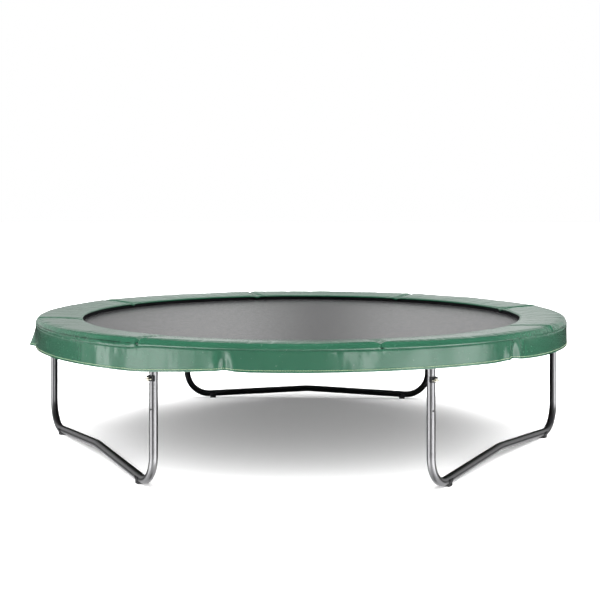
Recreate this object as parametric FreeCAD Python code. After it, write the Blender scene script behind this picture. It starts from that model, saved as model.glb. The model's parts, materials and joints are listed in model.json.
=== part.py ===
"""Round backyard trampoline: a steel ring of six tubes on three W-shaped legs, a jumping mat held by
coil springs, and a padded spring cover with a hanging skirt.

Millimetres, +Z up, origin on the ground under the middle of the mat. +Y points at the leg that stands
behind, and angles about +Z are counted from +X.
"""

import FreeCAD, Part
import math
import os

os.makedirs("parts", exist_ok=True)

Vector = FreeCAD.Vector
UP = Vector(0, 0, 1)
CENTRE = Vector(0, 0, 0)

# ---------------------------------------------------------------- driving dimensions
# Top ring: round tubes, each with a thinner spigot that pushes into the next tube
ring_outer_diameter = 3050.0
ring_underside_height = 659.0
rail_count = 6
tube_diameter = 42.0
tube_wall = 1.5
tube_fit = 0.2            # radial clearance of a spigot in a tube
butt_gap = 0.4            # gap left where two pieces meet end to end
rail_spigot_length = 50.0
shoulder_length = 8.0     # solid step between a tube and its thinner end

# Sockets welded under the ring, one over each upright
socket_length = 150.0
weld_gap = 3.0            # from the end of an upright to the ring
clamp_drop = 117.0        # clamp bolt below the underside of the ring

# Legs
leg_count = 3
leg_half_spread = 34.07   # degrees from the middle of a leg to each of its uprights
leg_bend_radius = 150.0
leg_arch_radius = 400.0
leg_arch_rise = 38.0      # the middle of the base bar above its feet
base_joint_height = 263.0
base_insert_length = 80.0
net_hole_above_joint = 131.0
net_hole_diameter = 8.5

# Plastic foot clips snapped on the base bar
foot_offset = 181.0       # along the leg, from the upright to the foot
foot_length = 37.0
foot_lift = 9.0           # plastic between the bar and the ground
foot_wall = 3.5
foot_pad_width = 40.0
foot_pad_height = 16.0
foot_grip_height = 7.0    # how far the clip reaches up past the middle of the bar
foot_fit = 0.2

# Clamp on each upright: carriage bolt, moulded saddle and wing nut
bolt_diameter = 8.0
bolt_hole_clearance = 0.25
bolt_head_diameter = 18.0
bolt_head_height = 4.5
bolt_end_past_nut = 6.0
saddle_width = 36.0
saddle_height = 26.0
saddle_thickness = 15.0
saddle_corner = 4.0
saddle_side_depth = 8.0   # how far the saddle wraps back around the tube
clamp_fit = 0.3
nut_hub_diameter = 16.0
nut_hub_length = 12.0
nut_thread_fit = 0.1
wing_span = 44.0
wing_thickness = 3.6
wing_lobe_diameter = 15.0

# Springs
spring_count = 60
coil_diameter = 22.0
coil_wire = 3.2
coil_length = 105.0
coil_gap_to_ring = 8.0
hook_reach = 14.0         # from the end of the coil to the tip of the hook at the mat
hook_bend_radius = 4.0
hook_tip_length = 11.0
hook_fit = 0.3
slot_side_clearance = 2.4
slot_end_clearance = 2.2

# Triangular rings, webbing loops, hem and mat
ring_wire = 4.0
ring_side_angle = 62.0    # between the base of a ring and each of its sides
ring_corner_radius = 5.0
loop_width = 20.0
loop_side_gap = 1.0       # from a loop to the corner of its ring
loop_strap = 2.0
loop_reach = 16.0         # how far a loop is sewn in over the hem
loop_fit = 0.2
hem_width = 45.0
hem_thickness = 3.2
hem_edge = 2.0            # webbing folded around the rim of the mat
mat_thickness = 1.2
mat_fit = 0.2

# Padded spring cover
panel_count = 8
panel_first_seam = 16.0   # degrees
pad_over_mat = 53.0       # how far the pad reaches in past the rim of the mat
pad_overhang = 7.0        # how far the foam reaches out past the ring
pad_clearance = 1.0       # between the ring and the backing sheet
foam_edge_thickness = 6.5
foam_crown_thickness = 22.0
foam_shoulder_width = 34.0
foam_side_height = 10.0
sheet_thickness = 1.0
backing_thickness = 0.8
sheet_fit = 0.3
skirt_thickness = 1.6
skirt_drop = 115.0

# Elastic straps that hold the pad to the ring
strap_count = 15
strap_first_angle = 12.0  # degrees, midway between two springs
strap_width = 20.0
strap_thickness = 1.2

# ---------------------------------------------------------------- sizes that follow
tube_radius = tube_diameter / 2
bore_radius = tube_radius - tube_wall
spigot_radius = bore_radius - tube_fit
spigot_bore_radius = spigot_radius - tube_wall
ring_radius = ring_outer_diameter / 2 - tube_radius
ring_height = ring_underside_height + tube_radius
ring_top_height = ring_height + tube_radius
rail_sweep = 360.0 / rail_count
leg_pitch = 360.0 / leg_count
first_leg_angle = 90.0
first_rail_angle = first_leg_angle - rail_sweep

half_chord = ring_radius * math.sin(math.radians(leg_half_spread))
chord_distance = ring_radius * math.cos(math.radians(leg_half_spread))
foot_axis_height = tube_radius + foot_lift
foot_place = half_chord - foot_offset
bar_slope = leg_arch_rise / foot_place
clamp_height = ring_underside_height - clamp_drop
net_hole_height = base_joint_height + net_hole_above_joint
upright_angles = [
    first_leg_angle + leg * leg_pitch + side * leg_half_spread
    for leg in range(leg_count)
    for side in (-1, 1)
]

coil_radius = coil_diameter / 2
spring_height = ring_top_height - coil_radius
spring_pitch = 360.0 / spring_count
coil_outer_end = ring_radius - tube_radius - coil_gap_to_ring
coil_inner_end = coil_outer_end - coil_length
hook_tip_at_mat = coil_inner_end - hook_reach
hook_height_in_tube = spring_height - ring_height
tube_face_at_hook = ring_radius - math.sqrt(bore_radius ** 2 - hook_height_in_tube ** 2)
hook_tip_in_tube = tube_face_at_hook + coil_wire / 2 + hook_fit

ring_wire_radius = ring_wire / 2
mat_height = spring_height - coil_wire / 2 - ring_wire_radius - hook_fit
ring_apex = hook_tip_at_mat + coil_wire / 2 + ring_wire_radius + hook_fit
side_slope = math.radians(ring_side_angle)
base_corner_reach = ring_corner_radius / math.tan(side_slope / 2)
ring_half_width = loop_width / 2 + loop_side_gap + base_corner_reach
ring_sharp_apex = ring_apex + ring_corner_radius / math.cos(side_slope) - ring_corner_radius
ring_base = ring_sharp_apex - ring_half_width * math.tan(side_slope)
mat_rim = ring_base - ring_wire_radius - loop_strap

pad_underside = ring_top_height + pad_clearance
foam_bottom = pad_underside + backing_thickness + sheet_fit
foam_inner_radius = mat_rim - pad_over_mat
foam_outer_radius = ring_outer_diameter / 2 + pad_overhang
cover_growth = sheet_fit + sheet_thickness
panel_sweep = 360.0 / panel_count


# ---------------------------------------------------------------- helpers
def turned(shape, degrees):
    """A copy of the shape turned about the middle of the trampoline."""
    copy = shape.copy()
    copy.rotate(CENTRE, UP, degrees)
    return copy


def block(low, high):
    """A box between two opposite corners."""
    size = high - low
    return Part.makeBox(size.x, size.y, size.z, low)


def rounded_path(points, bends):
    """Straight runs through the points, with an arc of the given radius at each inner corner."""
    edges = []
    start = points[0]
    for before, corner, after, bend in zip(points, points[1:], points[2:], bends):
        heading_in = (corner - before).normalize()
        heading_out = (after - corner).normalize()
        turn = heading_in.getAngle(heading_out)
        reach = bend * math.tan(turn / 2)
        arc_start = corner - heading_in * reach
        arc_end = corner + heading_out * reach
        inward = (heading_out - heading_in).normalize()
        arc_middle = corner + inward * (bend / math.cos(turn / 2) - bend)
        edges.append(Part.LineSegment(start, arc_start).toShape())
        edges.append(Part.Arc(arc_start, arc_middle, arc_end).toShape())
        start = arc_end
    edges.append(Part.LineSegment(start, points[-1]).toShape())
    return Part.Wire(edges)


def swept_bar(path, radius):
    """A round bar that follows the path."""
    first = path.Edges[0]
    start = first.valueAt(first.FirstParameter)
    heading = first.tangentAt(first.FirstParameter)
    section = Part.Wire(Part.makeCircle(radius, start, heading))
    return path.makePipeShell([section], True, False)


def ring_bar(section_radius, start, sweep):
    """A solid bar on the line of the top ring, from the start angle over the sweep."""
    middle = Vector(ring_radius, 0, ring_height)
    section = Part.Face(Part.Wire(Part.makeCircle(section_radius, middle, Vector(0, 1, 0))))
    return turned(section.revolve(CENTRE, UP, sweep), start)


def degrees_along_ring(length):
    return math.degrees(length / ring_radius)


def revolved_sector(face, start, sweep):
    """Turn a face in the XZ plane into a sector about the middle of the trampoline."""
    return turned(face.revolve(CENTRE, UP, sweep), start)


def flat_face(points):
    """A face in the XZ plane from (radius, height) corners."""
    corners = [Vector(radius, 0, height) for radius, height in points]
    return Part.Face(Part.makePolygon(corners + corners[:1]))


def save(name, solids):
    """Write one node: a single solid, or a group of separate solids."""
    shape = solids[0] if len(solids) == 1 else Part.makeCompound(solids)
    shape.exportStep("parts/" + name + ".step")


# ---------------------------------------------------------------- top ring
def hook_slot(angle):
    """Opening in the inner wall of the ring for the hook of one spring."""
    half_width = coil_wire / 2 + slot_side_clearance
    bottom = spring_height - hook_tip_length - slot_end_clearance
    top = spring_height + coil_wire / 2 + slot_end_clearance
    low = Vector(ring_radius - tube_diameter, -half_width, bottom)
    high = Vector(hook_tip_in_tube + coil_wire, half_width, top)
    return turned(block(low, high), angle)


def clamp_hole(angle, height, diameter):
    """Round hole straight through an upright, on a line from the middle of the trampoline."""
    start = Vector(ring_radius - tube_diameter, 0, height)
    drill = Part.makeCylinder(diameter / 2, 2 * tube_diameter, start, Vector(1, 0, 0))
    return turned(drill, angle)


def top_rail(start, socket_angle):
    """One tube of the ring with its spigot, the slots for the hooks and the welded leg socket."""
    end = start + rail_sweep
    gap = degrees_along_ring(butt_gap)
    spigot = degrees_along_ring(rail_spigot_length)
    shoulder = degrees_along_ring(shoulder_length)
    socket_bottom = Vector(ring_radius, 0, ring_underside_height - socket_length)
    tube = ring_bar(tube_radius, start + gap, rail_sweep - gap)
    thin_end = ring_bar(spigot_radius, end - shoulder, shoulder + spigot)
    socket = Part.makeCylinder(spigot_radius, socket_length + tube_radius, socket_bottom)
    rail = tube.fuse([thin_end, turned(socket, socket_angle)])
    socket_bore = Part.makeCylinder(spigot_bore_radius, socket_length, socket_bottom)
    cuts = [
        ring_bar(bore_radius, start, rail_sweep - shoulder),
        ring_bar(spigot_bore_radius, end - 2 * shoulder, 3 * shoulder + spigot),
        turned(socket_bore, socket_angle),
        clamp_hole(socket_angle, clamp_height, bolt_diameter + 2 * bolt_hole_clearance),
    ]
    springs_per_rail = spring_count // rail_count
    for place in range(springs_per_rail):
        cuts.append(hook_slot(start + (place + 0.5) * spring_pitch))
    return rail.cut(cuts).removeSplitter()


# ---------------------------------------------------------------- legs
def leg_extension(angle):
    """Straight upper part of an upright, open at both ends, with the bolt hole and the net-pole hole."""
    bottom = Vector(ring_radius, 0, base_joint_height + butt_gap)
    length = ring_underside_height - weld_gap - bottom.z
    tube = Part.makeCylinder(tube_radius, length, bottom)
    bore = Part.makeCylinder(bore_radius, length, bottom)
    upright = turned(tube.cut(bore), angle)
    holes = [
        clamp_hole(angle, clamp_height, bolt_diameter + 2 * bolt_hole_clearance),
        clamp_hole(angle, net_hole_height, net_hole_diameter),
    ]
    return upright.cut(holes)


def base_path(top_height):
    """Middle line of a leg base, in its own upright plane behind the trampoline's middle."""
    corner_height = foot_axis_height - foot_offset * bar_slope
    points = [
        Vector(half_chord, chord_distance, top_height),
        Vector(half_chord, chord_distance, corner_height),
        Vector(0, chord_distance, foot_axis_height + leg_arch_rise),
        Vector(-half_chord, chord_distance, corner_height),
        Vector(-half_chord, chord_distance, top_height),
    ]
    return rounded_path(points, [leg_bend_radius, leg_arch_radius, leg_bend_radius])


def leg_base(leg_angle):
    """W-shaped base: one bent tube with a thinner insert at the top of each upright."""
    bar = swept_bar(base_path(base_joint_height), tube_radius)
    cavity = swept_bar(base_path(base_joint_height - shoulder_length), bore_radius)
    for side in (-1, 1):
        foot = Vector(side * half_chord, chord_distance, base_joint_height - 2 * shoulder_length)
        length = base_insert_length + 2 * shoulder_length
        bar = bar.fuse(Part.makeCylinder(spigot_radius, length, foot))
        cavity = cavity.fuse(Part.makeCylinder(spigot_bore_radius, length, foot))
    return turned(bar.cut(cavity), leg_angle - first_leg_angle)


def foot_clip(leg_angle, side):
    """Moulded clip around the underside of the base bar, with a flat sole on the ground."""
    middle = Vector(side * foot_place, chord_distance, foot_axis_height)
    along = Vector(side, 0, -bar_slope).normalize()
    half = foot_length / 2
    clip_radius = tube_radius + foot_fit + foot_wall
    collar = Part.makeCylinder(clip_radius, foot_length, middle - along * half, along)
    sole_low = Vector(middle.x - half, chord_distance - foot_pad_width / 2, 0)
    sole_high = Vector(middle.x + half, chord_distance + foot_pad_width / 2, foot_pad_height)
    slot = Part.makeCylinder(tube_radius + foot_fit, 2 * foot_length, middle - along * foot_length, along)
    mouth_low = middle + Vector(-foot_length, -2 * clip_radius, foot_grip_height)
    mouth_high = middle + Vector(foot_length, 2 * clip_radius, 2 * clip_radius)
    clip = collar.fuse(block(sole_low, sole_high)).cut([slot, block(mouth_low, mouth_high)])
    return turned(clip, leg_angle - first_leg_angle)


# ---------------------------------------------------------------- clamps on the uprights
saddle_face = ring_radius + tube_radius + saddle_thickness
nut_seat = saddle_face + clamp_fit
bolt_radius = bolt_diameter / 2


def clamp_saddle(angle):
    """Moulded saddle between the upright and the wing nut."""
    back = saddle_face - saddle_thickness - saddle_side_depth
    low = Vector(back, -saddle_width / 2, clamp_height - saddle_height / 2)
    high = Vector(saddle_face, saddle_width / 2, clamp_height + saddle_height / 2)
    body = block(low, high)
    outer_edges = [edge for edge in body.Edges if edge.CenterOfMass.x > saddle_face - saddle_corner]
    body = body.makeFillet(saddle_corner, outer_edges)
    tube = Part.makeCylinder(tube_radius + clamp_fit, 2 * saddle_height,
                             Vector(ring_radius, 0, clamp_height - saddle_height))
    hole = Part.makeCylinder(bolt_radius + bolt_hole_clearance, tube_diameter,
                             Vector(ring_radius, 0, clamp_height), Vector(1, 0, 0))
    return turned(body.cut([tube, hole]), angle)


def clamp_bolt(angle):
    """Carriage bolt with its round head on the inner side of the upright."""
    seat = Vector(ring_radius - tube_radius - clamp_fit, 0, clamp_height)
    length = nut_seat + nut_hub_length + bolt_end_past_nut - seat.x
    shank = Part.makeCylinder(bolt_radius, length, seat, Vector(1, 0, 0))
    head = Part.makeCylinder(bolt_head_diameter / 2, bolt_head_height, seat, Vector(-1, 0, 0))
    crown = [edge for edge in head.Edges if edge.CenterOfMass.x < seat.x - bolt_head_height / 2
             and edge.Curve.TypeId == "Part::GeomCircle"]
    head = head.makeFillet(bolt_head_height * 0.8, crown)
    return turned(shank.fuse(head), angle)


def wing_nut(angle):
    """Wing nut: a round hub with two rounded wings that lean outwards."""
    seat = Vector(nut_seat, 0, clamp_height)
    hub = Part.makeCylinder(nut_hub_diameter / 2, nut_hub_length, seat, Vector(1, 0, 0))
    lobe_radius = wing_lobe_diameter / 2
    lobe_place = wing_span / 2 - lobe_radius
    parts = []
    for side in (-1, 1):
        middle = seat + Vector(nut_hub_length, side * lobe_place, -wing_thickness / 2)
        lobe = Part.makeCylinder(lobe_radius, wing_thickness, middle)
        web = [
            seat + Vector(nut_hub_length * 0.2, 0, -wing_thickness / 2),
            middle + Vector(-lobe_radius * 0.8, side * lobe_radius * 0.6, 0),
            middle + Vector(lobe_radius * 0.6, -side * lobe_radius * 0.8, 0),
            seat + Vector(nut_hub_length * 0.9, 0, -wing_thickness / 2),
        ]
        plate = Part.Face(Part.makePolygon(web + web[:1])).extrude(UP * wing_thickness)
        parts += [lobe, plate]
    thread = Part.makeCylinder(bolt_radius + nut_thread_fit, 3 * nut_hub_length,
                               seat - Vector(nut_hub_length, 0, 0), Vector(1, 0, 0))
    return turned(hub.fuse(parts).cut(thread), angle)


# ---------------------------------------------------------------- springs and mat
def hook(coil_end, tip, direction):
    """Wire from the end turn of a coil to the axis, along it, and down at the tip."""
    wire_radius = coil_wire / 2
    root = coil_end - direction * coil_wire
    points = [
        Vector(root, 0, spring_height + coil_radius - wire_radius),
        Vector(root, 0, spring_height),
        Vector(tip, 0, spring_height),
        Vector(tip, 0, spring_height - hook_tip_length),
    ]
    return swept_bar(rounded_path(points, [hook_bend_radius, hook_bend_radius]), wire_radius)


def spring(angle):
    """Coil drawn as a thin barrel, with the hooked wire at both ends."""
    start = Vector(coil_inner_end, 0, spring_height)
    outside = Part.makeCylinder(coil_radius, coil_length, start, Vector(1, 0, 0))
    inside = Part.makeCylinder(coil_radius - coil_wire, coil_length, start, Vector(1, 0, 0))
    barrel = outside.cut(inside)
    hooks = [
        hook(coil_outer_end, hook_tip_in_tube, 1),
        hook(coil_inner_end, hook_tip_at_mat, -1),
    ]
    return turned(barrel.fuse(hooks), angle)


def triangle_ring(angle):
    """Closed wire triangle between a webbing loop and a spring hook."""
    points = [
        Vector(ring_base, 0, mat_height),
        Vector(ring_base, -ring_half_width, mat_height),
        Vector(ring_sharp_apex, 0, mat_height),
        Vector(ring_base, ring_half_width, mat_height),
        Vector(ring_base, 0, mat_height),
    ]
    path = rounded_path(points, [ring_corner_radius] * 3)
    return turned(swept_bar(path, ring_wire_radius), angle)


def webbing_loop(angle):
    """Doubled strap around the base of a triangular ring, sewn over and under the hem."""
    half_height = ring_wire_radius + loop_strap
    low = Vector(mat_rim - loop_reach, -loop_width / 2, mat_height - half_height)
    high = Vector(ring_base + half_height, loop_width / 2, mat_height + half_height)
    bar_space = Part.makeCylinder(ring_wire_radius + loop_fit, 2 * loop_width,
                                  Vector(ring_base, -loop_width, mat_height), Vector(0, 1, 0))
    hem_space = block(
        Vector(0, -loop_width, mat_height - hem_thickness / 2 - loop_fit),
        Vector(mat_rim + loop_fit, loop_width, mat_height + hem_thickness / 2 + loop_fit),
    )
    return turned(block(low, high).cut([bar_space, hem_space]), angle)


def jumping_mat():
    """Flat disc of woven fabric."""
    bottom = Vector(0, 0, mat_height - mat_thickness / 2)
    return Part.makeCylinder(mat_rim - hem_edge, mat_thickness, bottom)


def mat_hem():
    """Webbing folded around the rim of the mat."""
    low = mat_height - hem_thickness / 2
    high = mat_height + hem_thickness / 2
    bottom_of_groove = mat_height - mat_thickness / 2 - mat_fit
    top_of_groove = mat_height + mat_thickness / 2 + mat_fit
    groove_end = mat_rim - hem_edge + mat_fit
    inner = mat_rim - hem_width
    section = flat_face([
        (inner, low), (mat_rim, low), (mat_rim, high), (inner, high),
        (inner, top_of_groove), (groove_end, top_of_groove),
        (groove_end, bottom_of_groove), (inner, bottom_of_groove),
    ])
    return section.revolve(CENTRE, UP, 360)


# ---------------------------------------------------------------- padded spring cover
def pad_section(growth):
    """Section of the pad, grown by a distance everywhere but underneath."""
    inner = foam_inner_radius - growth
    outer = foam_outer_radius + growth
    edge_top = foam_bottom + foam_edge_thickness + growth
    crown_top = foam_bottom + foam_crown_thickness + growth
    shoulder = foam_outer_radius - foam_shoulder_width
    slope_bulge = 0.35 * (foam_crown_thickness - foam_edge_thickness)
    slope_middle = Vector((inner + shoulder) / 2, 0, (edge_top + crown_top) / 2 + slope_bulge)
    corner_share = math.sqrt(0.5)
    side_top = foam_bottom + foam_side_height
    shoulder_middle = Vector(
        shoulder + (outer - shoulder) * corner_share, 0,
        side_top + (crown_top - side_top) * corner_share,
    )
    edges = [
        Part.LineSegment(Vector(outer, 0, foam_bottom), Vector(inner, 0, foam_bottom)).toShape(),
        Part.LineSegment(Vector(inner, 0, foam_bottom), Vector(inner, 0, edge_top)).toShape(),
        Part.Arc(Vector(inner, 0, edge_top), slope_middle, Vector(shoulder, 0, crown_top)).toShape(),
        Part.Arc(Vector(shoulder, 0, crown_top), shoulder_middle, Vector(outer, 0, side_top)).toShape(),
        Part.LineSegment(Vector(outer, 0, side_top), Vector(outer, 0, foam_bottom)).toShape(),
    ]
    return Part.Face(Part.Wire(edges))


def panel(section, start):
    """One panel of the pad between two radial seams."""
    gap = math.degrees(butt_gap / foam_outer_radius)
    return revolved_sector(section, start + gap / 2, panel_sweep - gap)


def skirt_section():
    """Section of the sheet that hangs under the outer edge of the pad."""
    outer = foam_outer_radius + cover_growth
    top = foam_bottom - sheet_fit
    bottom = foam_bottom - skirt_drop
    inner = outer - skirt_thickness
    return flat_face([(inner, bottom), (outer, bottom), (outer, top), (inner, top)])


def backing_sheet():
    """Flat sheet that closes the pad from below."""
    section = flat_face([
        (foam_inner_radius, pad_underside),
        (foam_outer_radius - skirt_thickness, pad_underside),
        (foam_outer_radius - skirt_thickness, pad_underside + backing_thickness),
        (foam_inner_radius, pad_underside + backing_thickness),
    ])
    return section.revolve(CENTRE, UP, 360)


def elastic_strap(angle):
    """Strap that hangs from the pad and passes around the ring."""
    inside = tube_radius + clamp_fit
    outside = inside + strap_thickness
    start = Vector(ring_radius, -strap_width / 2, ring_height)
    top = pad_underside - clamp_fit - ring_height

    def u_shape(radius):
        round_part = Part.makeCylinder(radius, strap_width, start, Vector(0, 1, 0))
        straight = block(start - Vector(radius, 0, 0), start + Vector(radius, strap_width, top))
        return round_part.common(block(start - Vector(radius, 0, radius),
                                       start + Vector(radius, strap_width, 0))).fuse(straight)

    strap = u_shape(outside).cut(u_shape(inside))
    return turned(strap, angle)


# ---------------------------------------------------------------- build the nodes
for number in range(rail_count):
    start_angle = first_rail_angle + number * rail_sweep
    socket = [angle for angle in upright_angles if 0 < (angle - start_angle) % 360 < rail_sweep][0]
    save(f"top_rail_{number + 1}", [top_rail(start_angle, socket)])

for number, angle in enumerate(upright_angles, 1):
    save(f"leg_extension_{number}", [leg_extension(angle)])

for number in range(leg_count):
    leg_angle = first_leg_angle + number * leg_pitch
    save(f"leg_base_{number + 1}", [leg_base(leg_angle)])
    save(f"foot_clips_{number + 1}", [foot_clip(leg_angle, side) for side in (-1, 1)])

save("clamp_saddles", [clamp_saddle(angle) for angle in upright_angles])
save("clamp_bolts", [clamp_bolt(angle) for angle in upright_angles])
save("wing_nuts", [wing_nut(angle) for angle in upright_angles])

spring_angles = [first_rail_angle + (place + 0.5) * spring_pitch for place in range(spring_count)]
springs_in_group = spring_count // rail_count
for number in range(rail_count):
    group = spring_angles[number * springs_in_group:(number + 1) * springs_in_group]
    save(f"springs_{number + 1}", [spring(angle) for angle in group])

save("jumping_mat", [jumping_mat()])
save("mat_hem", [mat_hem()])
save("triangle_rings", [triangle_ring(angle) for angle in spring_angles])
save("webbing_loops", [webbing_loop(angle) for angle in spring_angles])

foam_section = pad_section(0)
cover_section = pad_section(cover_growth).cut(pad_section(sheet_fit))
for number in range(panel_count):
    seam = panel_first_seam + number * panel_sweep
    save(f"pad_foam_{number + 1}", [panel(foam_section, seam)])
    save(f"pad_cover_{number + 1}", [panel(cover_section, seam)])
    save(f"pad_skirt_{number + 1}", [panel(skirt_section(), seam)])

save("pad_backing", [backing_sheet()])
strap_angles = [strap_first_angle + place * 360.0 / strap_count for place in range(strap_count)]
save("elastic_straps", [elastic_strap(angle) for angle in strap_angles])
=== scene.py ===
import json
import math

import bmesh
import bpy
import numpy as np
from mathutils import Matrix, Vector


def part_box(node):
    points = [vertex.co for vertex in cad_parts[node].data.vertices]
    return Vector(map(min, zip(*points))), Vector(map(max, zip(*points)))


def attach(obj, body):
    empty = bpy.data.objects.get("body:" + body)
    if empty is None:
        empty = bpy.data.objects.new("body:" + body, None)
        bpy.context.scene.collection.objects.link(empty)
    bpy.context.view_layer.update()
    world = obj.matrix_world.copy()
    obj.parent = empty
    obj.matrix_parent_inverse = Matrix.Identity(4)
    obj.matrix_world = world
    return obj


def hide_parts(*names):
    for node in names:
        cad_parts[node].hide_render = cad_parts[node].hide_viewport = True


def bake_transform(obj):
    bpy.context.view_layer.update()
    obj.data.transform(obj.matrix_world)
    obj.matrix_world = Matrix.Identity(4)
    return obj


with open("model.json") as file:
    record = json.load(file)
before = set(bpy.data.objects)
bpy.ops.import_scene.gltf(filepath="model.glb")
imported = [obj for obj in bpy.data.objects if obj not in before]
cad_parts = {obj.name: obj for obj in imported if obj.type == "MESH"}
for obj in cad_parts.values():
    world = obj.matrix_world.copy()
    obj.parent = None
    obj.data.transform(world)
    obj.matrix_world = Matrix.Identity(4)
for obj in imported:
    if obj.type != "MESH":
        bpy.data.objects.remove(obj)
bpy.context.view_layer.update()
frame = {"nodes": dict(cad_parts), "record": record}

MM = 0.001
TAU = 2 * math.pi

# ---------------------------------------------------------------- places taken from the frame
def node_ring(name):
    """(smallest radius, largest radius, lowest, highest) of a CAD node about the vertical axis."""
    points = np.array([v.co for v in frame["nodes"][name].data.vertices])
    radius = np.hypot(points[:, 0], points[:, 1])
    return radius.min(), radius.max(), points[:, 2].min(), points[:, 2].max()


PAD_INNER, PAD_OUTER, PAD_LOW, PAD_HIGH = node_ring("pad_cover_1")
MAT_RADIUS, MAT_LOW, MAT_HIGH = node_ring("jumping_mat")[1:]
MAT_LEVEL = (MAT_LOW + MAT_HIGH) / 2
HEM_INNER, HEM_OUTER, HEM_LOW, HEM_HIGH = node_ring("mat_hem")
BACKING_INNER, BACKING_OUTER, BACKING_LOW, BACKING_HIGH = node_ring("pad_backing")
PANELS = 8
RING_INNER_EDGE, RING_EDGE, _, RING_TOP = node_ring("top_rail_1")
FIRST_SEAM = 16.0         # degrees about +Z, where the first radial seam of the pad lies
PANEL_SWEEP = 360.0 / PANELS
SPRINGS = 60
FIRST_SPRING = 33.0       # degrees
SPRING_PITCH = 360.0 / SPRINGS


# ---------------------------------------------------------------- small helpers
def lattice_noise(x, y, seed):
    """Smooth value noise from -1 to 1 over arrays of x and y, the same on every run."""
    table = np.random.RandomState(seed).uniform(-1, 1, (256, 256))
    left, low = np.floor(x).astype(int), np.floor(y).astype(int)
    fx, fy = x - left, y - low
    fx, fy = fx * fx * (3 - 2 * fx), fy * fy * (3 - 2 * fy)
    a = table[left % 256, low % 256]
    b = table[(left + 1) % 256, low % 256]
    c = table[left % 256, (low + 1) % 256]
    d = table[(left + 1) % 256, (low + 1) % 256]
    return (a * (1 - fx) + b * fx) * (1 - fy) + (c * (1 - fx) + d * fx) * fy


def creases(x, y, seed):
    """Soft ground with narrow folds in it, from 0 to 1."""
    return (1 - np.abs(lattice_noise(x, y, seed))) ** 5


def bell(distance, width):
    return np.exp(-((distance / width) ** 2))


def smooth_step(value, low, high):
    t = np.clip((value - low) / (high - low), 0, 1)
    return t * t * (3 - 2 * t)


def ring_points(angle, radius, height):
    """Points from angles in degrees, radii and heights."""
    turn, radius, height = np.broadcast_arrays(np.radians(angle), radius, height)
    return np.stack([radius * np.cos(turn), radius * np.sin(turn), height], -1)


SHARP_ANGLE = 50.0        # degrees between faces above which an edge is drawn sharp


def new_piece(name, points, faces, material, uvs=None):
    """A mesh object from an array of points and a list of faces; uvs is one pair per point."""
    mesh = bpy.data.meshes.new(name)
    mesh.from_pydata(np.asarray(points).reshape(-1, 3).tolist(), [], faces)
    mesh.validate()
    mesh.shade_smooth()
    mesh.set_sharp_from_angle(angle=math.radians(SHARP_ANGLE))
    if uvs is not None:
        layer = mesh.uv_layers.new(name="length_uv")
        corner_points = np.empty(len(mesh.loops), np.int32)
        mesh.loops.foreach_get("vertex_index", corner_points)
        layer.data.foreach_set("uv", np.asarray(uvs).reshape(-1, 2)[corner_points].ravel())
    mesh.materials.append(material)
    piece = bpy.data.objects.new(name, mesh)
    bpy.context.scene.collection.objects.link(piece)
    return piece


def grid_faces(rows, columns, close_columns=False):
    """Quads of a grid stored row by row; close_columns joins the last column to the first."""
    faces = []
    last = columns if close_columns else columns - 1
    for row in range(rows - 1):
        for column in range(last):
            following = (column + 1) % columns
            faces.append((
                row * columns + column,
                row * columns + following,
                (row + 1) * columns + following,
                (row + 1) * columns + column,
            ))
    return faces


def capped_tube_faces(rows, columns):
    """Quads of a closed section carried along rows, with a cap at each end."""
    faces = grid_faces(rows, columns, close_columns=True)
    faces.append(tuple(reversed(range(columns))))
    faces.append(tuple(range((rows - 1) * columns, rows * columns)))
    return faces


def join_meshes(name, meshes, material):
    """One piece from several (points, faces) pairs."""
    all_points, all_faces, offset = [], [], 0
    for points, faces in meshes:
        points = np.asarray(points).reshape(-1, 3)
        all_points.append(points)
        all_faces += [tuple(index + offset for index in face) for face in faces]
        offset += len(points)
    return new_piece(name, np.concatenate(all_points), all_faces, material)


def swept_tube(line, radius, sides):
    """(points, faces) of a round tube along a line of points, with flat caps."""
    line = np.asarray(line)
    ahead = np.gradient(line, axis=0)
    ahead /= np.linalg.norm(ahead, axis=1)[:, None]
    side = np.cross(ahead[0], [0.0, 0.0, 1.0])
    if np.linalg.norm(side) < 0.1:
        side = np.cross(ahead[0], [0.0, 1.0, 0.0])
    rows = []
    for centre, heading in zip(line, ahead):
        side = side - heading * side.dot(heading)
        side /= np.linalg.norm(side)
        up = np.cross(heading, side)
        turns = np.arange(sides) * TAU / sides
        outward = np.cos(turns)[:, None] * side + np.sin(turns)[:, None] * up
        rows.append(centre + radius * outward)
    return np.array(rows), capped_tube_faces(len(line), sides)


def stitch_row(centres, along, outward, length, width, height):
    """(points, faces) pairs of single stitches lying on a surface."""
    across = np.cross(outward, along)
    corners = [
        (-0.5, 0.0, -0.2), (-0.3, 0.5, 0.0), (0.3, 0.5, 0.0), (0.5, 0.0, -0.2),
        (0.3, -0.5, 0.0), (-0.3, -0.5, 0.0), (-0.25, 0.0, 1.0), (0.25, 0.0, 1.0),
    ]
    shell = [(0, 1, 6), (1, 2, 7, 6), (2, 3, 7), (3, 4, 7), (4, 5, 6, 7), (5, 0, 6),
             (0, 5, 4, 3, 2, 1)]
    meshes = []
    for centre, a, b, c in zip(centres, along, across, outward):
        points = [centre + a * x * length + b * y * width + c * z * height for x, y, z in corners]
        meshes.append((points, shell))
    return meshes


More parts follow.
